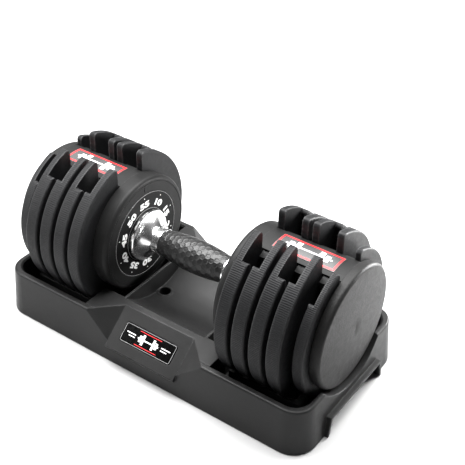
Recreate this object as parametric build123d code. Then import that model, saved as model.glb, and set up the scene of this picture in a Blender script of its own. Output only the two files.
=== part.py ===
from build123d import *
import math
import os

# Adjustable dumbbell in its tray. Millimetres, +Z up, X along the handle, the
# front badge faces -Y. The origin is under the middle of the tray.

# ---- heights and lengths along the handle ----
AXIS_Z = 112.5          # handle axis above the floor
CORE_R = 75.0           # inner housing, bridge and end cap
HOUSING_X = (77.0, 96.5)
CAP_X = (203.5, 215.0)
CAP_DOME = 1.5
CAP_ROUND = 4.5

# ---- weight plates ----
PLATE_R = 100.0
PLATE_T = 17.0
PLATE_X = 97.5          # inner face of the first plate
PLATE_PITCH = 22.2
SMALL_R = 88.0
SMALL_T = 13.0
SMALL_X = 189.5
SLOT_HALF = 22.0        # U-slot that lets the bridge and shaft out upwards
CHANNEL_HALF = 57.0     # half-depth channel that lets the selector disc out
PLATE_CUT = 8.5
SMALL_CUT = 6.5
PLATE_POCKET_R = 74.0
SMALL_POCKET_R = 76.0
RIM_ROUND = 2.2
HORN_TIP = 5.0
LEDGE_TIP = 4.0
STACK = 4                # full-size plates at each end

# ---- hook tabs and selector discs ----
TAB_R = (30.0, 36.0)
TAB_HALF = 8.0
TAB_REACH = 6.5
FLANGE_R = (37.0, 43.0)
FLANGE_REACH = 6.0
DISC_R = 45.0
HUB_R = 12.0
STEPS = 10
STEP_DEG = 36.0
PICKED = {              # dial steps, counted from the heaviest, that lift each plate
    "1": range(0, 8),
    "2": range(0, 6),
    "3": range(0, 4),
    "4": range(0, 2),
    "5": range(0, 9, 2),
}

# ---- shaft and handle ----
SHAFT_R = 8.0
SHAFT_FLAT = 7.0
SHAFT_END = 210.3
FIT = 0.05              # radial clearance on the shaft
TUBE_R = 13.0
TUBE_END = 60.0
GRIP_END = 47.0
GRIP_END_R = 16.0
GRIP_MID_R = 20.6
GRIP_RING_END = 48.6
COLLAR_END = 76.9
COLLAR_R = 33.0
NECK_R = 15.6
DIAL_R = 56.3
DIAL_X = (77.0, 82.0)
BUSHING_R = 12.2

# ---- carry lock ----
WHEEL_R = 30.0
WHEEL_X = (84.0, 88.0)
NOTCH_DEPTH = 5.0
LOCK_MID_X = 86.0
LOCK_T = 3.0
SPRING_Z = (42.0, 60.0)

SCREW_CIRCLE_R = 65.0

# ---- bridge over the plates ----
BRIDGE_HALF = 20.5
BRIDGE_T = 6.0
WING_HALF = 29.0

# ---- tray ----
TRAY_L = 446.0
TRAY_W = 221.0
TRAY_CORNER = 30.0
TRAY_TAPER = 4.6
TRAY_FOOT = 1.0         # the wall stops this far above the floor
TRAY_ROUND = 3.0        # rounding of the rim
RIM_Z = 61.0
SKIN = 3.5
WELL_FLOOR = 8.0
WELL_X = (60.0, 210.5)
WELL_HALF = 97.0
SADDLE_HALF = 62.0
SHOULDER = (92.0, 62.0) # tray top beside the housing reaches this x, from this y out
SHOULDER_CUT = 6.0
SCOOP_R = 88.0
SCOOP_Z = 122.0
END_SCOOP_R = 79.0
PANEL_HALF = 51.0
PANEL_TOP = (-72.0, 61.0)
PANEL_FOOT = (-114.0, 26.3)
RECESS_X = 86.0
GRAB_HALF = (60.0, 54.0)
GRAB_Z = 24.0
LIP_OUT = 227.5
LIP_T = 3.0
STAND_HOLE_X = 50.0
STAND_WELL_R = 7.5
STAND_HOLE_R = 3.2
SEAT_X = (94.0, 206.0)
SEAT_HALF = 64.0
SEAT_TOP = 30.0
SEAT_GAP = 0.3
SEAT_SIDE = 0.6
FOOT_R = 9.0

AXLE = Axis((0, 0, AXIS_Z), (1, 0, 0))
ON_BASE = (Align.CENTER, Align.CENTER, Align.MIN)


def rod(radius, x0, x1, y=0.0, z=0.0):
    """Round bar along X, y and z counted from the handle axis."""
    bar = Cylinder(radius, x1 - x0, align=ON_BASE)
    return Pos(x0, y, AXIS_Z + z) * Rot(0, 90, 0) * bar


def tube(outer, inner, x0, x1):
    return rod(outer, x0, x1) - rod(inner, x0 - 1, x1 + 1)


def block(x, y, z):
    """Box from three (low, high) pairs in the row frame."""
    size = [b - a for a, b in (x, y, z)]
    mid = [(a + b) / 2 for a, b in (x, y, z)]
    return Pos(*mid) * Box(*size)


def axle_block(x, y, z):
    """Box whose z pair is counted from the handle axis."""
    return block(x, y, (z[0] + AXIS_Z, z[1] + AXIS_Z))


def raised(outline):
    """(x, radius) corners as points above the handle axis."""
    return [(x, 0, AXIS_Z + r) for x, r in outline]


def across(sketch, x0, x1):
    """Extrude a (y, z) sketch, centred on the handle axis, from x0 to x1."""
    plane = Plane(origin=(x0, 0, AXIS_Z), x_dir=(0, 1, 0), z_dir=(1, 0, 0))
    return extrude(plane * sketch, amount=x1 - x0)


def along_x(points, x0, x1):
    """Prism with (y, z) corners in the row frame, from x0 to x1."""
    plane = Plane(origin=(x0, 0, 0), x_dir=(0, 1, 0), z_dir=(1, 0, 0))
    return extrude(plane * make_face(Polyline(*points, close=True)), amount=x1 - x0)


def keyed_hole(x0, x1):
    """Cutter for a bore that grips the flat on the shaft."""
    flat = axle_block((x0 - 1, x1 + 1), (SHAFT_FLAT + FIT, 20), (-20, 20))
    return rod(SHAFT_R + FIT, x0, x1) - flat


def left(shape):
    return mirror(shape, about=Plane.YZ)


# ---------------------------------------------------------------- plates
def plate(x0, radius, thick, cut, pocket_r, cut_outer):
    """Iron plate: U-slot right through, wide channel and pocket half-way through."""
    up = (Align.CENTER, Align.MIN)
    slot = Rectangle(2 * SLOT_HALF, 2 * radius, align=up) + Circle(SLOT_HALF)
    web = Circle(radius) - slot
    tips = [v for v in web.vertices() if v.Y > SLOT_HALF]
    web = fillet(tips, HORN_TIP)
    channel = Rectangle(2 * CHANNEL_HALF, 2 * radius, align=up) + Circle(pocket_r)
    rim = Circle(radius) - channel
    pocket_top = math.sqrt(pocket_r**2 - CHANNEL_HALF**2)
    ledges = [v for v in rim.vertices() if v.Y > pocket_top + LEDGE_TIP]
    rim = fillet(ledges, LEDGE_TIP)
    web_x = (x0, x0 + thick - cut) if cut_outer else (x0 + cut, x0 + thick)
    rim_x = (web_x[1], x0 + thick) if cut_outer else (x0, web_x[0])
    blank = rod(radius, x0, x0 + thick)
    blank = fillet(blank.edges().filter_by(GeomType.CIRCLE), RIM_ROUND)
    body = (across(web, *web_x) + across(rim, *rim_x)) & blank
    tab_x = (web_x[1], web_x[1] + TAB_REACH) if cut_outer else (web_x[0] - TAB_REACH, web_x[0])
    tab = axle_block(tab_x, (-TAB_HALF, TAB_HALF), (-TAB_R[1], -TAB_R[0]))
    return body + tab


def plates():
    made = {}
    for i in range(STACK):
        x0 = PLATE_X + i * PLATE_PITCH
        made[str(i + 1)] = plate(x0, PLATE_R, PLATE_T, PLATE_CUT, PLATE_POCKET_R, i % 2 == 0)
    made["5"] = plate(SMALL_X, SMALL_R, SMALL_T, SMALL_CUT, SMALL_POCKET_R, False)
    return made


# ---------------------------------------------------------------- selector
def flange(key, x0, x1):
    """Lifting rim: one 36 degree arc for every dial step that picks the plate."""
    ring = tube(FLANGE_R[1], FLANGE_R[0], x0, x1)
    for k in range(STEPS):
        if k in PICKED[key]:
            continue
        mid = math.radians(-90 + STEP_DEG * k)
        half = math.radians(STEP_DEG / 2)
        wedge = [(0, 0)]
        for a in (mid - half, mid, mid + half):
            wedge.append((60 * math.cos(a), 60 * math.sin(a)))
        ring -= across(make_face(Polyline(*wedge, close=True)), x0 - 1, x1 + 1)
    return ring


def selector_disc(web_x, hub_x, inner_key, outer_key):
    disc = rod(DISC_R, *web_x) + rod(HUB_R, *hub_x)
    if inner_key:
        disc += flange(inner_key, web_x[0] - FLANGE_REACH, web_x[0])
    if outer_key:
        disc += flange(outer_key, web_x[1], web_x[1] + FLANGE_REACH)
    return disc - keyed_hole(*hub_x)


def selector_discs():
    first = PLATE_X + PLATE_PITCH - (PLATE_PITCH - PLATE_T) / 2
    third = first + 2 * PLATE_PITCH
    ends = (97.3, 139.0, 176.0, 201.0)
    return {
        "1": selector_disc((first - 2, first + 2), ends[0:2], "1", "2"),
        "2": selector_disc((third - 2, third + 2), ends[1:3], "3", "4"),
        "3": selector_disc((183.0, 186.0), ends[2:4], None, "5"),
    }


def shaft():
    bar = rod(SHAFT_R, -SHAFT_END, SHAFT_END)
    bar = chamfer(bar.edges().filter_by(GeomType.CIRCLE), 0.8)
    bar -= axle_block((-203.0, 203.0), (SHAFT_FLAT, 20), (-20, 20))
    for s in (-1, 1):
        x0, x1 = sorted((s * 201.2, s * 202.6))
        bar -= tube(SHAFT_R + 2, 7.2, x0, x1)
    return bar


def retaining_rings():
    """C-clips that stop the shaft stack sliding outwards."""
    ring = tube(11.0, 7.25, 201.3, 202.5) - axle_block((200, 204), (-3.5, 3.5), (0, 20))
    return ring + left(ring)


def grip():
    """Barrel-shaped sleeve over the handle tube."""
    low = AXIS_Z + TUBE_R + FIT
    high = AXIS_Z + GRIP_END_R
    top = ThreePointArc((-GRIP_END, 0, high), (0, 0, AXIS_Z + GRIP_MID_R), (GRIP_END, 0, high))
    sides = Polyline((GRIP_END, 0, high), (GRIP_END, 0, low), (-GRIP_END, 0, low), (-GRIP_END, 0, high))
    return revolve(make_face([top] + sides.edges()), axis=AXLE)


def collar():
    """Chrome trumpet between the grip and the dial."""
    flare_edge = (71.0, COLLAR_R - 0.9)
    neck_end = (56.5, NECK_R)
    bore = SHAFT_R + FIT
    socket = TUBE_R + FIT
    rim = [flare_edge, (71.9, COLLAR_R), (74.0, COLLAR_R), (75.2, 31.0), (COLLAR_END, 31.0)]
    inside = [(COLLAR_END, bore), (TUBE_END + 0.1, bore), (TUBE_END + 0.1, socket), (GRIP_RING_END, socket)]
    flare = [neck_end, (63.0, 18.6), (68.6, 25.2), flare_edge]
    curve = Spline(*raised(flare), tangents=[(1, 0, 0), (0.15, 0, 1)])
    back = Polyline(*raised(rim + inside + [(GRIP_RING_END, NECK_R), neck_end]))
    return revolve(make_face([curve] + back.edges()), axis=AXLE)


def dial():
    disc = rod(DIAL_R, *DIAL_X)
    disc = chamfer(disc.edges().filter_by(GeomType.CIRCLE).group_by(Axis.X)[0], 0.6)
    return disc - keyed_hole(DIAL_X[0] - 1, DIAL_X[1] + 1)


def lock_wheel():
    wheel = rod(WHEEL_R, *WHEEL_X) + rod(HUB_R, DIAL_X[1] + 0.1, 90.7)
    for k in range(STEPS):
        turn = Rot(STEP_DEG * k, 0, 0)
        notch = block((83, 89), (-2.8, 2.8), (WHEEL_R - NOTCH_DEPTH, WHEEL_R + 5))
        wheel -= Pos(0, 0, AXIS_Z) * turn * notch
    return wheel - keyed_hole(81, 92)


# ---------------------------------------------------------------- core
def screw_spots():
    """Places of the back plate's screws, (y, z) from the axis."""
    reach = SCREW_CIRCLE_R * math.sqrt(0.5)
    return [(sy * reach, sz * reach) for sy in (-1, 1) for sz in (-1, 1)]


def housing():
    x0, x1 = HOUSING_X
    shell = rod(CORE_R, x0, x1)
    shell = fillet(shell.edges().filter_by(GeomType.CIRCLE).group_by(Axis.X)[0], 5.0)
    shell -= rod(DIAL_R + 0.3, x0 - 1, x1 + 1)
    shell -= rod(69.3, DIAL_X[1] + 0.3, x1 + 1)
    groove = tube(69.0, 68.3, x0 - 1, x0 + 0.5)
    shell -= groove
    shell -= axle_block((x0 - 1, x0 + 0.6), (-0.7, 0.7), (59.5, 67.0))
    boss = axle_block((82.5, 89.5), (-6, 6), (SPRING_Z[1], 69.4))
    shell += boss
    for y, z in screw_spots():
        shell += rod(4.5, DIAL_X[1] - 2, 92.4, y, z) & rod(70.0, 70, 100)
        shell -= rod(1.35, 84.0, 93, y, z)
    stem_hole = Pos(LOCK_MID_X, 0, AXIS_Z + SPRING_Z[1] - 1) * Cylinder(2.1, 9.0, align=ON_BASE)
    shell -= stem_hole
    return shell - axle_block((83.0, 89.0), (-6.5, 6.5), (-80, -60))


def housing_back():
    back = rod(69.2, 92.5, HOUSING_X[1]) - rod(BUSHING_R + FIT, 92, 97)
    for y, z in screw_spots():
        back -= rod(1.7, 92, 97, y, z)
        back -= rod(2.9, 94.4, 97, y, z)
    for y in (-10, 10):
        back -= rod(1.9, 92, 97, y, 60)
    return back


def housing_screws():
    screws = Part()
    for y, z in screw_spots():
        screws += rod(1.3, 85.0, 94.5, y, z) + rod(2.7, 94.4, 96.3, y, z)
    return screws + left(screws)


def arch(r_in, r_out, half, x0, x1):
    """Strip of a tube's wall around the top, cut to a width."""
    return tube(r_out, r_in, x0, x1) & axle_block((x0, x1), (-half, half), (0, 90))


def wing_spans():
    """X ranges where the bridge carries side wings, one for each selector disc."""
    first = PLATE_X + PLATE_T - PLATE_CUT + 1.0
    span = PLATE_PITCH - 2.0
    second = first + 2 * PLATE_PITCH
    return [(first, first + span), (second, second + span), (182.3, SMALL_X + SMALL_CUT - 1.0)]


def bridge():
    x0, x1 = HOUSING_X[1], CAP_X[0]
    strip = arch(CORE_R - BRIDGE_T, CORE_R, BRIDGE_HALF, x0, x1)
    for s in (-1, 1):
        y = sorted((s * (BRIDGE_HALF - 3), s * BRIDGE_HALF))
        strip += axle_block((x0, x1), y, (50, 70))
    for span in wing_spans():
        strip += arch(66.5, 72.6, WING_HALF, *span)
    for lug in ((x0, x0 + 4), (x1 - 4, x1)):
        strip += axle_block(lug, (-BRIDGE_HALF, BRIDGE_HALF), (50, 70))
    for y in (-10, 10):
        strip -= rod(1.9, x0 - 1, x0 + 6, y, 60) + rod(1.9, x1 - 6, x1 + 1, y, 60)
    return strip - arch(CORE_R - 0.9, CORE_R + 2, 14.3, 112.2, 190.8)


def badge_top():
    return arch(CORE_R - 0.9, CORE_R + 0.3, 14.0, 112.5, 190.5)


def bridge_screws():
    screws = Part()
    for y in (-10, 10):
        screws += rod(1.8, 91.0, 100.5, y, 60) + rod(3.6, 100.5, 102.8, y, 60)
        screws += rod(1.8, 199.5, 209.0, y, 60) + rod(3.6, 197.2, 199.5, y, 60)
    return screws + left(screws)


def cap():
    """Heavy end disc with a rounded edge and a slightly domed face."""
    x0, x1 = CAP_X
    disc = rod(CORE_R, x0, x1)
    disc = fillet(disc.edges().filter_by(GeomType.CIRCLE).group_by(Axis.X)[-1], CAP_ROUND)
    face_r = CORE_R - CAP_ROUND
    ball_r = (face_r**2 + CAP_DOME**2) / (2 * CAP_DOME)
    half_x = x1 + CAP_DOME - ball_r + math.sqrt(ball_r**2 - face_r**2 / 4)
    tip = (x1, 0, AXIS_Z + face_r)
    peak = (x1 + CAP_DOME, 0, AXIS_Z)
    dome = ThreePointArc(tip, (half_x, 0, AXIS_Z + face_r / 2), peak)
    back = Polyline(peak, (x1 - 1, 0, AXIS_Z), (x1 - 1, 0, AXIS_Z + face_r), tip)
    disc += revolve(make_face([dome] + back.edges()), axis=AXLE)
    disc -= tube(50.0, 22.0, x0 - 1, x0 + 5.5)
    disc -= rod(BUSHING_R + FIT, x0 - 1, 211.0)
    for y in (-10, 10):
        disc -= rod(1.9, x0 - 1, 210.0, y, 60)
    return disc


def lock_slider():
    """Window plate round the lock wheel: tooth above, leg below, stem for the spring."""
    x = (LOCK_MID_X - LOCK_T / 2, LOCK_MID_X + LOCK_T / 2)
    frame = axle_block(x, (-37, 37), (-42, SPRING_Z[0]))
    frame -= axle_block((x[0] - 1, x[1] + 1), (-32.5, 32.5), (-36.5, 36.5))
    tooth = [(-2.7, 37), (-2.2, 31.3), (2.2, 31.3), (2.7, 37)]
    frame += across(make_face(Polyline(*tooth, close=True)), *x)
    frame += axle_block(x, (-5.5, 5.5), (-73.3, -41))
    stem = Pos(LOCK_MID_X, 0, AXIS_Z + 40) * Cylinder(2.0, 26.5, align=ON_BASE)
    cheek = axle_block((x[0], x[1]), (-2.0, 2.0), (40, SPRING_Z[0]))
    return frame + (stem - axle_block((80, 92), (-4, 4), (30, SPRING_Z[0]))) + cheek


def lock_spring():
    wire = 0.45
    low = AXIS_Z + SPRING_Z[0] + wire + 0.25
    high = AXIS_Z + SPRING_Z[1] - wire - 0.25
    coil = Helix(pitch=3.0, height=high - low, radius=3.3, center=(LOCK_MID_X, 0, low))
    start = Plane(origin=coil @ 0, z_dir=coil % 0)
    return sweep(start * Circle(wire), path=coil, is_frenet=True)


# ---------------------------------------------------------------- tray
def beyond(point, normal, inset):
    """Everything outside a plane, the plane moved inwards by the inset."""
    n = Vector(*normal).normalized()
    plane = Plane(origin=Vector(*point) - n * inset, z_dir=n)
    return plane * Pos(0, 0, 150) * Box(300, 300, 300)


def panel_normal():
    dy = PANEL_FOOT[0] - PANEL_TOP[0]
    dz = PANEL_FOOT[1] - PANEL_TOP[1]
    return (0, dz, -dy)


def tray_block(inset):
    """Tapered block that the wells and scoops are sunk into."""
    low = TRAY_FOOT if inset == 0 else -5.0
    grow = (TRAY_FOOT - low) * math.tan(math.radians(TRAY_TAPER)) - inset
    base = RectangleRounded(TRAY_L + 2 * grow, TRAY_W + 2 * grow, TRAY_CORNER + grow)
    form = Pos(0, 0, low) * extrude(base, amount=RIM_Z - inset - low, taper=TRAY_TAPER)
    if inset == 0:
        form = fillet(form.faces().sort_by(Axis.Z)[-1].edges(), TRAY_ROUND)
    return form


def well(inset):
    """Space for one head, with a lead-in round its mouth."""
    length = WELL_X[1] - WELL_X[0] + 2 * inset
    width = 2 * (WELL_HALF + inset)
    mouth = RectangleRounded(length, width, 20 + inset)
    space = extrude(mouth, amount=-(RIM_Z - WELL_FLOOR + inset), taper=5)
    if inset == 0:
        space += extrude(RectangleRounded(length + 4, width + 4, 22), amount=-2.0, taper=45)
    return Pos((WELL_X[0] + WELL_X[1]) / 2, 0, RIM_Z) * space


def saddle_end(inset):
    """Sloping end of the saddle, and the shoulders either side of the housing."""
    top = RIM_Z - inset
    low = WELL_FLOOR - 4
    reach = WELL_HALF + inset + 1
    x = SHOULDER[0] - inset
    y = SHOULDER[1] + inset
    half = y + 2
    slope = [(50, top), (SADDLE_HALF - inset, top), (84 - inset, low), (50, low)]
    side = Plane.XZ.offset(-half) * make_face(Polyline(*slope, close=True))
    corner = [(50, y), (x - SHOULDER_CUT, y), (x, y + SHOULDER_CUT), (x, reach), (50, reach)]
    shoulder = Pos(0, 0, low) * extrude(make_face(Polyline(*corner, close=True)), amount=top - low)
    return extrude(side, amount=2 * half) + shoulder + mirror(shoulder, about=Plane.XZ)


def recess(side, inset):
    """Cutter for the triangular facet that runs into the badge panel."""
    top = Vector(side * RECESS_X, -105.6, RIM_Z)
    corner = Vector(side * PANEL_HALF, PANEL_TOP[0], RIM_Z)
    foot = Vector(side * (PANEL_HALF + 1), -108.9, 31.0)
    n = (corner - top).cross(foot - top)
    n = n if n.Z > 0 else n * -1
    span = sorted((side * (PANEL_HALF - inset), side * (RECESS_X + 2)))
    return beyond(tuple(top), tuple(n), inset) & block(span, (-140, -30), (0, 90))


def tray_form(inset):
    """Outer form of the moulding, or its underside form when given an inset."""
    end_scoop = rod(END_SCOOP_R + inset, 196 - inset, 240)
    form = tray_block(inset)
    for s in (-1, 1):
        pieces = [well(inset), saddle_end(inset), end_scoop]
        space, saddle, scoop = pieces if s > 0 else [left(p) for p in pieces]
        form = form - space + saddle - scoop
    scoop_x = SADDLE_HALF - 3.0 + inset
    form -= rod(SCOOP_R + inset, -scoop_x, scoop_x, z=SCOOP_Z - AXIS_Z)
    slab = block((-PANEL_HALF + inset, PANEL_HALF - inset), (-140, -30), (0, 90))
    cut = beyond((0, *PANEL_TOP), panel_normal(), inset) & slab
    cut += recess(-1, inset) + recess(1, inset)
    return form - cut - mirror(cut, about=Plane.XZ)


def panel_nose(inset):
    """Foot of the badge panel, standing just proud of the long wall."""
    half = PANEL_HALF - inset
    y, z = PANEL_FOOT
    slope = (PANEL_TOP[1] - z) / (PANEL_TOP[0] - y)
    root = -100
    outline = [
        (y + inset, z - inset),
        (y + 2 + inset, z - 3.5 + inset),
        (root, z - 6.5 + inset),
        (root, z + slope * (root - y) - 1.3 * inset),
    ]
    nose = along_x(outline, -half, half)
    return nose + mirror(nose, about=Plane.XZ)


def trapezium(grow):
    """Finger opening in the end wall, in (y, z)."""
    foot, top = GRAB_HALF[0] + grow, GRAB_HALF[1] + grow
    return [(-foot, -4), (foot, -4), (top, GRAB_Z + grow), (-top, GRAB_Z + grow)]


def seats():
    """Cradle with a curved seat for each plate and fins between the plates."""
    bed = block(SEAT_X, (-SEAT_HALF, SEAT_HALF), (WELL_FLOOR - 2, SEAT_TOP))
    for i in range(STACK):
        x0 = PLATE_X + i * PLATE_PITCH
        bed -= rod(PLATE_R + SEAT_GAP, x0 - SEAT_SIDE, x0 + PLATE_T + SEAT_SIDE)
    return bed - rod(SMALL_R + SEAT_GAP, SMALL_X - SEAT_SIDE, SMALL_X + SMALL_T + 5)


def badge_plane(side):
    """Middle of the badge on the sloping panel; side -1 is the front."""
    y = (PANEL_TOP[0] + PANEL_FOOT[0]) / 2 - 0.9
    slope = (PANEL_TOP[1] - PANEL_FOOT[1]) / (PANEL_TOP[0] - PANEL_FOOT[0])
    z = PANEL_TOP[1] + slope * (y - PANEL_TOP[0])
    n = panel_normal()
    return Plane(origin=(0, -side * y, z), x_dir=(1, 0, 0), z_dir=(0, -side * n[1], n[2]))


def foot_spots():
    return [(sx * 188.0, sy * 76.0) for sx in (-1, 1) for sy in (-1, 1)]


def tray():
    body = tray_form(0) + panel_nose(0)
    body -= tray_form(SKIN)
    body = body.solids().sort_by(SortBy.VOLUME)[-1]
    for s in (-1, 1):
        bed = seats()
        post = block((84.0, 88.0), (-5.0, 5.0), (WELL_FLOOR - 2, AXIS_Z - 73.5))
        opening = along_x(trapezium(0), 213, 240)
        lip = along_x(trapezium(LIP_T), 217.5, LIP_OUT) - along_x(trapezium(0), 200, 240)
        lip &= block((200, 240), (-90, 90), (TRAY_FOOT, 60))
        if s < 0:
            bed, post, opening, lip = left(bed), left(post), left(opening), left(lip)
        body = body + bed + post - opening + lip
        well = Pos(s * STAND_HOLE_X, 0, TRAY_FOOT) * Cylinder(STAND_WELL_R + 2.5, 34, align=ON_BASE)
        body += well & rod(250, -90, 90, z=0)
        body -= Pos(s * STAND_HOLE_X, 0, TRAY_FOOT + 4) * Cylinder(STAND_WELL_R, 60, align=ON_BASE)
        body -= Pos(s * STAND_HOLE_X, 0, -1) * Cylinder(STAND_HOLE_R, 10, align=ON_BASE)
    for x, y in foot_spots():
        body += Pos(x, y, 2.5) * Cylinder(FOOT_R + 1.5, WELL_FLOOR - 3.5, align=ON_BASE)
    for side in (-1, 1):
        seat = badge_plane(side) * RectangleRounded(75.6, 25.0, 3.3)
        body -= extrude(seat, amount=3) + extrude(seat, amount=-0.8)
    return body


def tray_feet():
    feet = Part()
    for x, y in foot_spots():
        feet += Pos(x, y, 0) * Cylinder(FOOT_R, 2.5, align=ON_BASE)
    return feet


def badge(side):
    face = badge_plane(side) * RectangleRounded(75.0, 24.4, 3.0)
    return extrude(face, amount=0.6) + extrude(face, amount=-0.8)


# ---------------------------------------------------------------- all nodes
def nodes():
    one = {
        "tray": tray(),
        "tray_feet": tray_feet(),
        "badge_front": badge(-1),
        "badge_rear": badge(1),
        "shaft": shaft(),
        "handle_tube": tube(TUBE_R, SHAFT_R + FIT, -TUBE_END, TUBE_END),
        "grip": grip(),
        "retaining_rings": retaining_rings(),
        "housing_screws": housing_screws(),
        "bridge_screws": bridge_screws(),
    }
    pairs = {
        "housing": housing(),
        "housing_back": housing_back(),
        "bridge": bridge(),
        "badge_top": badge_top(),
        "cap": cap(),
        "bushing_inner": tube(BUSHING_R, SHAFT_R + FIT, 91.0, 97.0),
        "bushing_outer": tube(BUSHING_R, SHAFT_R + FIT, CAP_X[0] + 0.1, 210.6),
        "grip_ring": tube(GRIP_END_R + 0.9, TUBE_R + FIT, GRIP_END, GRIP_RING_END),
        "collar": collar(),
        "dial": dial(),
        "lock_wheel": lock_wheel(),
        "lock_slider": lock_slider(),
        "lock_spring": lock_spring(),
    }
    for key, disc in selector_discs().items():
        pairs["selector_disc" + key] = disc
    for key, solid in plates().items():
        pairs["plate" + key] = solid
    for name, shape in pairs.items():
        one[name + "_r"] = shape
        one[name + "_l"] = left(shape)
    return one


os.makedirs("parts", exist_ok=True)
for name, shape in nodes().items():
    export_step(shape, f"parts/{name}.step")
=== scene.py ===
import math

import bmesh
import bpy
import numpy as np
from mathutils import Matrix, Vector


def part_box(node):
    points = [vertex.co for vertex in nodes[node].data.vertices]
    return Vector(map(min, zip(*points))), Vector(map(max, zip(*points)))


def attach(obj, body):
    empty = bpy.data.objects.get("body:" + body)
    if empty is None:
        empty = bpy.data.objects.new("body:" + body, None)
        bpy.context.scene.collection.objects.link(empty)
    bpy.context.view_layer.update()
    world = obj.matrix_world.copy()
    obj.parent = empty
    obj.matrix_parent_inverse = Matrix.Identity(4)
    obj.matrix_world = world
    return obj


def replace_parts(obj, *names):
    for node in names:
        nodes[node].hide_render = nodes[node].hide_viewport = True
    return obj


# Adjustable dumbbell in its tray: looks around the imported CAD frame. Metres, X
# along the handle, -Y to the front, +Z up.
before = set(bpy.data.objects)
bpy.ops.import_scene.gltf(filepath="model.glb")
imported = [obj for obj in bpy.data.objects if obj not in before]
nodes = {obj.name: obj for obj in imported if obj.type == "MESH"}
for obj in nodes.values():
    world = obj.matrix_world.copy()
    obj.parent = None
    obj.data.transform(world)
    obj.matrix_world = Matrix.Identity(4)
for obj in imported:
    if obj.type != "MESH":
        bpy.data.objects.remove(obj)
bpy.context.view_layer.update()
MM = 0.001

# Sockets of the colour Mix node, which has one set for each kind of data.
MIX_FACTOR, MIX_FIRST, MIX_SECOND, MIX_RESULT = 0, 6, 7, 2
BEVEL_SAMPLES = 4

grip_lo, grip_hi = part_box("grip")
AXIS_Z = (grip_lo.z + grip_hi.z) / 2


# ---------------------------------------------------------------- materials
class Look:
    """One node material built around a Principled shader."""

    def __init__(self, name, metallic=0.0, specular=0.5):
        self.mat = bpy.data.materials.new(name)
        self.mat.use_nodes = True
        self.tree = self.mat.node_tree
        self.shader = self.tree.nodes["Principled BSDF"]
        self.shader.inputs["Metallic"].default_value = metallic
        self.shader.inputs["Specular IOR Level"].default_value = specular
        self.coords = self.node("ShaderNodeTexCoord").outputs["Object"]

    def node(self, kind, **inputs):
        """A new node with its named inputs set or linked."""
        made = self.tree.nodes.new(kind)
        for key, value in inputs.items():
            self.put(made.inputs[key.replace("_", " ")], value)
        return made

    def put(self, socket, value):
        if isinstance(value, bpy.types.NodeSocket):
            self.tree.links.new(value, socket)
        else:
            socket.default_value = value

    def math(self, operation, *values):
        """The result of one Math node."""
        made = self.tree.nodes.new("ShaderNodeMath")
        made.operation = operation
        for socket, value in zip(made.inputs, values):
            self.put(socket, value)
        return made.outputs[0]

    def noise(self, scale, detail=3.0, coords=None, roughness=0.55):
        """Noise by place on the object, 0 to 1 and mostly near 0.5."""
        made = self.node("ShaderNodeTexNoise", Vector=coords or self.coords, Scale=scale,
                         Detail=detail, Roughness=roughness)
        return made.outputs["Fac"]

    def spread(self, value, low, high, to_low, to_high):
        """Value moved from one range to another and clamped to it."""
        made = self.tree.nodes.new("ShaderNodeMapRange")
        for key, number in zip(("Value", "From Min", "From Max", "To Min", "To Max"),
                               (value, low, high, to_low, to_high)):
            self.put(made.inputs[key], number)
        return made.outputs[0]

    def mix(self, factor, first, second):
        made = self.tree.nodes.new("ShaderNodeMix")
        made.data_type = "RGBA"
        self.put(made.inputs[MIX_FACTOR], factor)
        self.put(made.inputs[MIX_FIRST], first)
        self.put(made.inputs[MIX_SECOND], second)
        return made.outputs[MIX_RESULT]

    def rounded(self, radius):
        """Normal with the sharp edges softened."""
        made = self.node("ShaderNodeBevel", Radius=radius)
        made.samples = BEVEL_SAMPLES
        return made.outputs["Normal"]

    def edges(self, normal):
        """1 on convex and concave edges, 0 on open faces."""
        true = self.node("ShaderNodeNewGeometry").outputs["Normal"]
        dot = self.tree.nodes.new("ShaderNodeVectorMath")
        dot.operation = "DOT_PRODUCT"
        self.put(dot.inputs[0], normal)
        self.put(dot.inputs[1], true)
        return self.spread(dot.outputs["Value"], 0.99, 0.8, 0.0, 1.0)

    def bump(self, height, distance, strength=1.0, normal=None):
        made = self.node("ShaderNodeBump", Height=height, Distance=distance, Strength=strength)
        if normal:
            self.put(made.inputs["Normal"], normal)
        return made.outputs["Normal"]

    def finish(self, colour, roughness, normal):
        self.put(self.shader.inputs["Base Color"], colour)
        self.put(self.shader.inputs["Roughness"], roughness)
        self.put(self.shader.inputs["Normal"], normal)
        return self.mat


def grey(value, warm=0.0):
    """A grey of the given brightness, tinted a little red when warm."""
    return (value * (1 + warm), value, value * (1 - warm), 1.0)


def moulded(name, dark, light, rough, grain=900.0, depth=0.05 * MM, edge=1.5 * MM, wear_and_highlight=0.25,
            specular=0.5, warm=0.0):
    """Textured plastic or coating: fine grain, slow tone changes, and lighter edges that are partly
    wear and partly a painted highlight.
    """
    look = Look(name, specular=specular)
    slow = look.noise(14.0, 4.0)
    fine = look.noise(grain, 2.0)
    scuffs = look.noise(120.0, 5.0, roughness=0.7)
    soft = look.rounded(edge)
    tone = look.mix(look.spread(slow, 0.35, 0.65, 0.0, 1.0), grey(dark, warm), grey(light, warm))
    speck = look.spread(fine, 0.35, 0.7, 0.0, 0.35)
    tone = look.mix(speck, tone, grey(light * 1.35, warm))
    # Lighter edges, varied by scuff noise: partly wear, partly a painted highlight along every edge.
    worn = look.math("MULTIPLY", look.edges(look.rounded(2 * edge)),
                     look.spread(scuffs, 0.35, 0.65, wear_and_highlight * 0.3, wear_and_highlight))
    tone = look.mix(worn, tone, grey(light * 3.2 + 0.02, warm))
    gloss = look.math("ADD", look.spread(scuffs, 0.3, 0.7, rough - 0.05, rough + 0.07),
                      look.spread(fine, 0.3, 0.7, -0.03, 0.04))
    return look.finish(tone, gloss, look.bump(fine, depth, normal=soft))


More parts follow.
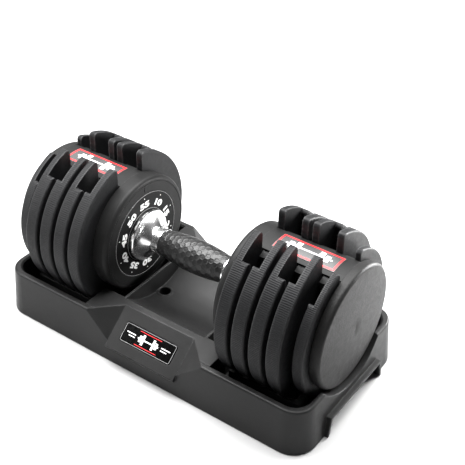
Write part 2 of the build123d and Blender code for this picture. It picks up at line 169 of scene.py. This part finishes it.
RIDGES = 260.0          # cross ridges on a rim, as radians of wave per radian of turn
RIDGE_WANDER = 5.0
PLATE_GREYS = ((0.006, 0.0061, 0.0066, 1), (0.011, 0.0112, 0.0118, 1))
PLATE_SPECK = (0.022, 0.022, 0.0235, 1)
# Edge colour: partly wear, partly a painted highlight along the edges.
PLATE_WEAR_AND_HIGHLIGHT = (0.16, 0.16, 0.162, 1)


def cast_plate(name):
    """Dark coated iron: cast grain on the faces, fine cross ridges on the rims, and lighter edges that
    are partly wear and partly a painted highlight.
    """
    look = Look(name, specular=0.15)
    xyz = look.node("ShaderNodeSeparateXYZ", Vector=look.coords)
    up = look.math("SUBTRACT", xyz.outputs["Z"], AXIS_Z)
    angle = look.math("ARCTAN2", up, xyz.outputs["Y"])
    wobble = look.noise(60.0, 2.0)
    ridge = look.math("SINE", look.math("ADD", look.math("MULTIPLY", angle, RIDGES),
                                        look.math("MULTIPLY", wobble, RIDGE_WANDER)))
    surface = look.node("ShaderNodeNewGeometry")
    facing = look.node("ShaderNodeSeparateXYZ", Vector=surface.outputs["Normal"])
    rim = look.spread(look.math("ABSOLUTE", facing.outputs["X"]), 0.25, 0.6, 1.0, 0.0)
    fine = look.noise(750.0, 3.0)
    pits = look.noise(190.0, 4.0, roughness=0.65)
    slow = look.noise(16.0, 4.0)
    soft = look.rounded(1.4 * MM)
    tone = look.mix(look.spread(slow, 0.35, 0.65, 0.0, 1.0), *PLATE_GREYS)
    tone = look.mix(look.spread(fine, 0.45, 0.75, 0.0, 0.45), tone, PLATE_SPECK)
    # Lighter edges, varied by pit noise: partly wear, partly a painted highlight along every edge.
    worn = look.math("MULTIPLY", look.edges(look.rounded(3 * MM)),
                     look.spread(pits, 0.35, 0.65, 0.2, 0.6))
    tone = look.mix(worn, tone, PLATE_WEAR_AND_HIGHLIGHT)
    gloss = look.math("ADD", look.spread(pits, 0.3, 0.7, 0.42, 0.56), look.math("MULTIPLY", rim, 0.03))
    height = look.math("ADD", look.math("MULTIPLY", fine, 0.7), look.math("MULTIPLY", pits, 0.5))
    height = look.math("ADD", height, look.math("MULTIPLY", look.math("MULTIPLY", ridge, rim), 0.45))
    return look.finish(tone, gloss, look.bump(height, 0.22 * MM, normal=soft))


TURNING_MARKS = (2600.0, 60.0, 60.0)
FAINT_MARKS = 0.002 * MM


def polished(name, colour, low, high, brushed=0.0):
    """Bare or plated metal with faint turning marks and smudges."""
    look = Look(name, metallic=1.0)
    smudge = look.noise(45.0, 5.0, roughness=0.6)
    squeeze = look.node("ShaderNodeMapping", Vector=look.coords, Scale=TURNING_MARKS)
    marks = look.noise(1.0, 2.0, coords=squeeze.outputs["Vector"])
    dulled = tuple(c * 0.9 for c in colour[:3]) + (1.0,)
    tone = look.mix(look.spread(smudge, 0.3, 0.7, 0.0, 1.0), colour, dulled)
    gloss = look.spread(smudge, 0.3, 0.7, low, high)
    return look.finish(tone, gloss, look.bump(marks, FAINT_MARKS + brushed))


def printed(name, colour, rough=0.45):
    """Opaque printing ink with a slightly uneven film."""
    look = Look(name)
    film = look.noise(1500.0, 2.0)
    patch = look.noise(160.0, 3.0)
    worn = tuple(c * 0.82 for c in colour[:3]) + (1.0,)
    tone = look.mix(look.spread(patch, 0.4, 0.7, 0.0, 1.0), colour, worn)
    gloss = look.spread(patch, 0.3, 0.7, rough - 0.06, rough + 0.08)
    return look.finish(tone, gloss, look.bump(film, 0.01 * MM))


def glossy_badge(name, dark, light, rough):
    """Glossy dark plastic with a little dust on it."""
    look = Look(name, specular=0.25)
    dust = look.noise(420.0, 4.0, roughness=0.7)
    wave = look.noise(55.0, 2.0)
    tone = look.mix(look.spread(dust, 0.5, 0.75, 0.0, 1.0), grey(dark), grey(light))
    gloss = look.spread(dust, 0.3, 0.7, rough, rough + 0.1)
    return look.finish(tone, gloss, look.bump(wave, 0.03 * MM, normal=look.rounded(0.6 * MM)))


def sleeve_rubber(name):
    """Dark satin rubber, wiped in places."""
    look = Look(name, specular=0.3)
    fine = look.noise(1300.0, 2.0)
    wipe = look.noise(70.0, 4.0, roughness=0.65)
    tone = look.mix(look.spread(wipe, 0.35, 0.65, 0.0, 1.0), grey(0.007), grey(0.014))
    gloss = look.spread(wipe, 0.3, 0.7, 0.26, 0.42)
    return look.finish(tone, gloss, look.bump(fine, 0.02 * MM))


PLATE = cast_plate("plate_iron")
# The lighter edges of these moulded looks are partly wear and partly a painted highlight.
CAP = moulded("cap_iron", 0.0095, 0.0145, 0.42, grain=620.0, depth=0.3 * MM, edge=1.2 * MM,
              wear_and_highlight=0.2, specular=0.12, warm=0.012)
TRAY = moulded("tray_plastic", 0.0095, 0.0135, 0.36, grain=1100.0, depth=0.05 * MM, edge=2 * MM,
               wear_and_highlight=0.3, specular=0.16)
HOUSING = moulded("housing_plastic", 0.009, 0.013, 0.44, grain=1000.0, depth=0.08 * MM,
                  edge=0.8 * MM, wear_and_highlight=0.35, specular=0.1)
DIAL = moulded("dial_plastic", 0.0055, 0.0085, 0.45, grain=1400.0, depth=0.03 * MM,
               edge=0.5 * MM, wear_and_highlight=0.1, specular=0.06)
RUBBER = moulded("foot_rubber", 0.008, 0.012, 0.8, grain=700.0, depth=0.06 * MM)
DISC = moulded("disc_plastic", 0.02, 0.027, 0.42, depth=0.04 * MM)
BUSHING = moulded("bushing_plastic", 0.62, 0.7, 0.4, depth=0.02 * MM, wear_and_highlight=0.0, warm=0.03)
BADGE = glossy_badge("badge_gloss", 0.001, 0.002, 0.12)
INLAY = moulded("badge_inlay", 0.028, 0.036, 0.38, grain=1200.0, depth=0.03 * MM,
                edge=0.3 * MM, wear_and_highlight=0.1)
CHROME = polished("chrome", (0.97, 0.97, 0.972, 1), 0.2, 0.26)
STEEL = polished("steel", (0.46, 0.46, 0.47, 1), 0.24, 0.4, brushed=0.01 * MM)
ALUMINIUM = polished("tube_aluminium", (0.78, 0.78, 0.8, 1), 0.22, 0.34, brushed=0.01 * MM)
SLEEVE = sleeve_rubber("grip_rubber")
WHITE = printed("white_ink", (0.86, 0.86, 0.85, 1))
RED = printed("red_ink", (0.62, 0.012, 0.016, 1), 0.4)
SILVER = printed("silver_ink", (0.3, 0.3, 0.3, 1), 0.3)

LOOK_OF = {
    "plate": PLATE, "cap": CAP, "tray": TRAY, "tray_feet": RUBBER, "badge_front": BADGE,
    "badge_rear": BADGE, "badge_top": INLAY, "housing": HOUSING, "housing_back": HOUSING,
    "bridge": HOUSING, "dial": DIAL, "collar": CHROME, "grip_ring": CHROME, "shaft": STEEL,
    "retaining_rings": STEEL, "housing_screws": STEEL, "bridge_screws": STEEL,
    "lock_spring": STEEL, "handle_tube": ALUMINIUM, "selector_disc": DISC, "lock_wheel": DISC,
    "lock_slider": DISC, "bushing_inner": BUSHING, "bushing_outer": BUSHING, "grip": SLEEVE,
}
for name, piece in nodes.items():
    kind = name[:-2] if name[-2:] in ("_l", "_r") else name
    look = LOOK_OF[kind] if kind in LOOK_OF else LOOK_OF[kind.rstrip("12345")]
    piece.data.materials.clear()
    piece.data.materials.append(look)


# ---------------------------------------------------------------- mesh pieces
WELD = 0.001 * MM


class Pile:
    """Vertices and faces collected into one piece."""

    def __init__(self):
        self.verts = []
        self.faces = []

    def grid(self, rows, close=False):
        """Quads between rows of points; close joins each row's ends."""
        first = len(self.verts)
        wide = len(rows[0])
        for row in rows:
            self.verts.extend(row)
        for i in range(len(rows) - 1):
            for j in range(wide if close else wide - 1):
                k = (j + 1) % wide
                a, b = first + i * wide, first + (i + 1) * wide
                self.faces.append((a + j, a + k, b + k, b + j))

    def slab(self, place, left, right, low, high):
        """A thin closed tile between two edge lines; place maps (u, v, height)."""
        loops = []
        for (u0, v0), (u1, v1) in zip(left, right):
            loops.append([place(u0, v0, low), place(u1, v1, low),
                          place(u1, v1, high), place(u0, v0, high)])
        first = len(self.verts)
        self.grid(loops, close=True)
        last = first + 4 * (len(loops) - 1)
        self.faces.append((first + 3, first + 2, first + 1, first))
        self.faces.append((last, last + 1, last + 2, last + 3))

    def add_mesh(self, mesh, matrix):
        first = len(self.verts)
        self.verts.extend(matrix @ v.co for v in mesh.vertices)
        self.faces.extend(tuple(first + i for i in p.vertices) for p in mesh.polygons)

    def build(self, name, look, body, smooth=False):
        """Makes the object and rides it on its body."""
        mesh = bpy.data.meshes.new(name)
        mesh.from_pydata([tuple(v) for v in self.verts], [], self.faces)
        work = bmesh.new()
        work.from_mesh(mesh)
        bmesh.ops.remove_doubles(work, verts=work.verts, dist=WELD)
        bmesh.ops.recalc_face_normals(work, faces=work.faces)
        work.to_mesh(mesh)
        work.free()
        mesh.polygons.foreach_set("use_smooth", [smooth] * len(mesh.polygons))
        mesh.materials.append(look)
        piece = bpy.data.objects.new(name, mesh)
        bpy.context.scene.collection.objects.link(piece)
        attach(piece, body)
        return piece


# ---------------------------------------------------------------- grip sleeve
GRIP_END_R = 16.0 * MM
GRIP_BORE_R = 13.1 * MM
DIMPLE_PITCH = 7.0 * MM
DIMPLE_R = 3.05 * MM
DIMPLE_DEPTH = 0.3 * MM
AROUND = 320
ALONG = 240

half = grip_hi.x
mid_r = (grip_hi.z - grip_lo.z) / 2
bulge = mid_r - GRIP_END_R
arc_r = (half**2 + bulge**2) / (2 * bulge)
per_ring = round(2 * math.pi * mid_r / DIMPLE_PITCH)
ring_gap = DIMPLE_PITCH * math.sin(math.pi / 3)
ring_count = int(2 * half / ring_gap)


def dimple(x, turn, radius):
    """Depth below the barrel at one point of the staggered pattern."""
    row = round(x / ring_gap)
    if abs(row) > (ring_count - 1) // 2:
        return 0.0
    deepest = 0.0
    for r in (row - 1, row, row + 1):
        if abs(r) > (ring_count - 1) // 2:
            continue
        step = turn * per_ring / (2 * math.pi) - 0.5 * (r % 2)
        across = (step - round(step)) * 2 * math.pi / per_ring * radius
        far = math.hypot(across, x - r * ring_gap) / DIMPLE_R
        if far < 1:
            deepest = max(deepest, 1 - far**8)
    return deepest * DIMPLE_DEPTH


def barrel(x):
    """Radius of the sleeve's arched side."""
    return mid_r - arc_r + math.sqrt(arc_r**2 - x**2)


sleeve = Pile()
turns = [2 * math.pi * j / AROUND for j in range(AROUND)]
rows = []
for i in range(ALONG + 1):
    x = -half + 2 * half * i / ALONG
    row = []
    for turn in turns:
        r = barrel(x) - dimple(x, turn, barrel(x))
        row.append((x, r * math.cos(turn), AXIS_Z + r * math.sin(turn)))
    rows.append(row)
ends = []
for x in (half, -half):
    ends.append([(x, GRIP_BORE_R * math.cos(t), AXIS_Z + GRIP_BORE_R * math.sin(t)) for t in turns])
sleeve.grid(rows + ends + rows[:1], close=True)
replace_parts(sleeve.build("grip_sleeve", SLEEVE, "selector", smooth=True), "grip")


# ---------------------------------------------------------------- dials
DIGIT_SIZE = 10.8 * MM
DIGIT_R = 41.2 * MM
DIGIT_BOLD = 0.5 * MM
INK = 0.12 * MM
DOT_R = 50.8 * MM
DOT_SIZE = 0.75 * MM
LINE_R = 34.0 * MM
# The painted highlight line at the dial's edge sits this far inside it.
EDGE_GAP = 0.9 * MM
LINE_WIDE = 0.4 * MM
STEP = 36.0
DIGIT_STRETCH = 1.6
DOT_SIDES = 16
LINE_SIDES = 120
WEIGHTS = [55, 50, 45, 40, 35, 30, 25, 20, 15, 10]


def digits(text):
    """A flat mesh of the number, centred on its origin."""
    curve = bpy.data.curves.new("digits", "FONT")
    curve.body = text
    curve.size = DIGIT_SIZE
    curve.align_x = "CENTER"
    curve.align_y = "CENTER"
    curve.offset = DIGIT_BOLD
    curve.extrude = INK / 2
    curve.resolution_u = 4
    holder = bpy.data.objects.new("digits", curve)
    bpy.context.scene.collection.objects.link(holder)
    ready = holder.evaluated_get(bpy.context.evaluated_depsgraph_get())
    mesh = bpy.data.meshes.new_from_object(ready)
    bpy.data.objects.remove(holder)
    return mesh


def dial_marks(side):
    """Numbers and dots round one dial, a printed line inside them, and a painted highlight line
    outside them at the dial's edge.
    """
    lo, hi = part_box("dial_" + side)
    inward = 1 if side == "l" else -1
    face = hi.x if side == "l" else lo.x
    pile = Pile()
    for step, weight in enumerate(WEIGHTS):
        turn = math.radians(90 + STEP * step)
        out = Vector((0, math.cos(turn), math.sin(turn)))
        normal = Vector((inward, 0, 0))
        across = out.cross(normal)
        middle = Vector((face + inward * INK * 0.4, 0, AXIS_Z)) + out * DIGIT_R
        matrix = Matrix.Translation(middle) @ Matrix((across, out, normal)).transposed().to_4x4()
        pile.add_mesh(digits(str(weight)), matrix @ Matrix.Diagonal((DIGIT_STRETCH, 1, 1, 1)))
        dot = Vector((face, 0, AXIS_Z)) + out * DOT_R
        rings = []
        for height in (-INK, INK):
            rings.append([dot + normal * height + (across * math.cos(a) + out * math.sin(a)) * DOT_SIZE
                          for a in np.linspace(0, 2 * math.pi, DOT_SIDES, endpoint=False)])
        first = len(pile.verts)
        pile.grid(rings, close=True)
        pile.faces.append(tuple(range(first + DOT_SIDES - 1, first - 1, -1)))
        pile.faces.append(tuple(range(first + DOT_SIDES, first + 2 * DOT_SIDES)))
    pile.build("dial_numbers_" + side, WHITE, "selector")
    hoops = Pile()
    turns = np.linspace(0, 2 * math.pi, LINE_SIDES, endpoint=False)
    # The first ring is a printed line round the collar; the second, just inside the dial's edge, is a
    # painted highlight of that edge.
    for inner in (LINE_R, (hi.z - lo.z) / 2 - EDGE_GAP):
        outer = inner + LINE_WIDE
        corners = ((inner, -INK), (inner, INK), (outer, INK), (outer, -INK))
        loops = [[(face + inward * h, r * math.cos(t), AXIS_Z + r * math.sin(t)) for t in turns]
                 for r, h in corners]
        hoops.grid(loops + loops[:1], close=True)
    hoops.build("dial_ring_" + side, SILVER, "selector", smooth=True)


for side in ("l", "r"):
    dial_marks(side)


# ---------------------------------------------------------------- badges
SUNK = -0.05 * MM       # printing starts this far under the badge's face
TRAY_SIGN = (15 * MM, 6.2 * MM)
BAR_FROM = 19 * MM      # the short bars beside the sign, inner end
BAR_LONG = (13 * MM, 9 * MM)
BAR_V = (1.6 * MM, -1.6 * MM)
BAR_HALF = 0.55 * MM
STRIPE_LONG = 16 * MM
STRIPE_V = 8.6 * MM
STRIPE_HALF = 0.35 * MM
BORDER = (36.6 * MM, 11.3 * MM, 2.3 * MM, 0.4 * MM)
BRIDGE_SIGN = (29 * MM, 8.5 * MM)
FRAME_HALF = 13 * MM
FRAME_GAP = 1.0 * MM
FRAME_WIDE = 2.3 * MM


def line(u0, v0, u1, v1, count=8):
    """Points along a straight edge."""
    return [(u0 + (u1 - u0) * i / count, v0 + (v1 - v0) * i / count) for i in range(count + 1)]


def tile(pile, place, u0, u1, v0, v1, count=8):
    """A printed rectangle; count is how often its long sides are divided."""
    pile.slab(place, line(u0, v0, u1, v0, count), line(u0, v1, u1, v1, count), SUNK, INK)


def upright(pile, place, u0, u1, v0, v1, count=8):
    """A printed rectangle that is divided along v."""
    pile.slab(place, line(u0, v0, u0, v1, count), line(u1, v0, u1, v1, count), SUNK, INK)


def pictogram(pile, place, half_long, half_high):
    """A plain dumbbell sign: a bar and two plates at each end."""
    tile(pile, place, -half_long, half_long, -0.12 * half_high, 0.12 * half_high)
    thick = 0.2 * half_long
    for side in (-1, 1):
        for k, tall in enumerate((1.0, 0.62)):
            v = tall * half_high
            u = side * half_long * (0.5 + 0.28 * k)
            upright(pile, place, u - thick / 2, u + thick / 2, -v, v)


def rounded_outline(half_u, half_v, radius, count=6):
    """A closed rectangle outline with round corners."""
    points = []
    for su, sv, start in ((1, 1, 0), (-1, 1, 90), (-1, -1, 180), (1, -1, 270)):
        for i in range(count + 1):
            a = math.radians(start + 90 * i / count)
            points.append((su * (half_u - radius) + radius * math.cos(a),
                           sv * (half_v - radius) + radius * math.sin(a)))
    return points + points[:1]


def border(pile, place, half_u, half_v, radius, width):
    """A raised line round a badge."""
    outer = rounded_outline(half_u, half_v, radius)
    inner = rounded_outline(half_u - width, half_v - width, radius - width)
    rings = [[place(u, v, h) for u, v in edge]
             for edge, h in ((outer, SUNK), (outer, INK), (inner, INK), (inner, SUNK))]
    pile.grid([list(loop) for loop in zip(*rings)], close=True)


def badge_place(node):
    """Maps (u, v, height) onto the flat top face of a tray badge."""
    mesh = nodes[node].data
    mesh.calc_loop_triangles()
    best = max((t for t in mesh.loop_triangles if t.normal.z > 0.3), key=lambda t: t.area)
    normal = best.normal.copy()
    top = max(mesh.vertices[i].co.dot(normal) for i in best.vertices)
    lo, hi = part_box(node)
    middle = (lo + hi) / 2
    middle += normal * (top - middle.dot(normal))
    across = Vector((1, 0, 0)) if normal.y < 0 else Vector((-1, 0, 0))
    up = normal.cross(across)
    return lambda u, v, h: middle + across * u + up * v + normal * h


def tray_badge(name):
    """Sign, short bars, two stripes and a border on one tray badge."""
    place = badge_place("badge_" + name)
    sign = Pile()
    pictogram(sign, place, *TRAY_SIGN)
    for s in (-1, 1):
        for v, length in zip(BAR_V, BAR_LONG):
            tile(sign, place, s * BAR_FROM, s * (BAR_FROM + length), v - BAR_HALF, v + BAR_HALF)
    sign.build("tray_sign_" + name, WHITE, "tray")
    stripe = Pile()
    for v in (-STRIPE_V, STRIPE_V):
        tile(stripe, place, -STRIPE_LONG, STRIPE_LONG, v - STRIPE_HALF, v + STRIPE_HALF)
    stripe.build("tray_stripe_" + name, RED, "tray")
    edge = Pile()
    border(edge, place, *BORDER)
    edge.build("tray_badge_edge_" + name, SILVER, "tray")


def bridge_badge(side):
    """Red frame and sign on the arched badge of one bridge."""
    lo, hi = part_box("badge_top_" + side)
    top_r = hi.z - AXIS_Z
    mid_x = (lo.x + hi.x) / 2

    def wrap(u, v, h):
        """Maps (u, v, height) onto the arch, v towards +Y."""
        r = top_r + h
        return Vector((mid_x + u, r * math.sin(v / top_r), AXIS_Z + r * math.cos(v / top_r)))

    red = Pile()
    hu = (hi.x - lo.x) / 2 - FRAME_GAP
    inside = FRAME_HALF - FRAME_WIDE
    for v0, v1 in ((-FRAME_HALF, -inside), (inside, FRAME_HALF)):
        tile(red, wrap, -hu, hu, v0, v1, 2)
    for u0, u1 in ((-hu, FRAME_WIDE - hu), (hu - FRAME_WIDE, hu)):
        upright(red, wrap, u0, u1, -inside, inside, 12)
    red.build("bridge_frame_" + side, RED, "core")
    sign = Pile()
    pictogram(sign, wrap, *BRIDGE_SIGN)
    sign.build("bridge_sign_" + side, WHITE, "core")


for name in ("front", "rear"):
    tray_badge(name)
for side in ("l", "r"):
    bridge_badge(side)


# ---------------------------------------------------------------- floor, light, camera
FLOOR_HALF = 9.0


def plain_floor():
    """A pale floor of matt paper."""
    mesh = bpy.data.meshes.new("floor")
    work = bmesh.new()
    bmesh.ops.create_grid(work, x_segments=8, y_segments=8, size=FLOOR_HALF)
    work.to_mesh(mesh)
    work.free()
    look = Look("floor_paper", specular=0.1)
    tone = look.mix(look.spread(look.noise(3.0, 3.0), 0.3, 0.7, 0.0, 1.0), grey(0.42), grey(0.45))
    mesh.materials.append(look.finish(tone, 0.9, look.bump(look.noise(300.0), 0.02 * MM)))
    floor = bpy.data.objects.new("floor", mesh)
    bpy.context.scene.collection.objects.link(floor)


def softbox(name, place, target, size, watts, seen=True):
    """An area light at place that faces target."""
    data = bpy.data.lights.new(name, "AREA")
    data.shape = "RECTANGLE"
    data.size, data.size_y = size
    data.energy = watts
    lamp = bpy.data.objects.new(name, data)
    lamp.location = place
    lamp.visible_camera = seen
    lamp.rotation_euler = (Vector(place) - Vector(target)).to_track_quat("Z", "Y").to_euler()
    bpy.context.scene.collection.objects.link(lamp)


plain_floor()
softbox("light_top", (-0.22, 0.25, 1.6), (0, 0, 0.1), (2.0, 1.1), 150)
softbox("light_back", (-0.75, 1.05, 1.1), (0, 0, 0.1), (1.2, 0.7), 8, seen=False)
softbox("light_right", (0.335, 0.37, 0.18), (0.21, 0, 0.12), (0.18, 0.18), 4.8, seen=False)
softbox("light_left", (-0.62, -0.36, 0.4), (-0.1, 0, 0.06), (0.35, 0.35), 4.2, seen=False)

WORLD_LIGHT = 0.06
world = bpy.data.worlds.new("studio")
world.use_nodes = True
background = world.node_tree.nodes["Background"]
background.inputs["Color"].default_value = (1, 1, 1, 1)
background.inputs["Strength"].default_value = WORLD_LIGHT
bpy.context.scene.world = world
bpy.context.scene.view_settings.view_transform = "Standard"

CAMERA_AT = (0.55465, -0.73046, 0.81221)
AZIMUTH, ELEVATION, ROLL = (math.radians(a) for a in (34.56, 35.92, 1.16))
SENSOR_MM = 36.0
LENS_MM = 75.07
back = Vector((math.sin(AZIMUTH) * math.cos(ELEVATION), -math.cos(AZIMUTH) * math.cos(ELEVATION),
               math.sin(ELEVATION)))
flat_right = (-back).cross(Vector((0, 0, 1))).normalized()
flat_up = flat_right.cross(-back)
right = math.cos(ROLL) * flat_right + math.sin(ROLL) * flat_up
up = -math.sin(ROLL) * flat_right + math.cos(ROLL) * flat_up
camera_data = bpy.data.cameras.new("camera")
camera_data.sensor_width = SENSOR_MM
camera_data.lens = LENS_MM
camera_data.clip_end = 50.0
camera = bpy.data.objects.new("camera", camera_data)
turn = Matrix((right, up, back)).transposed().to_4x4()
camera.matrix_world = Matrix.Translation(CAMERA_AT) @ turn
bpy.context.scene.collection.objects.link(camera)
bpy.context.scene.camera = camera
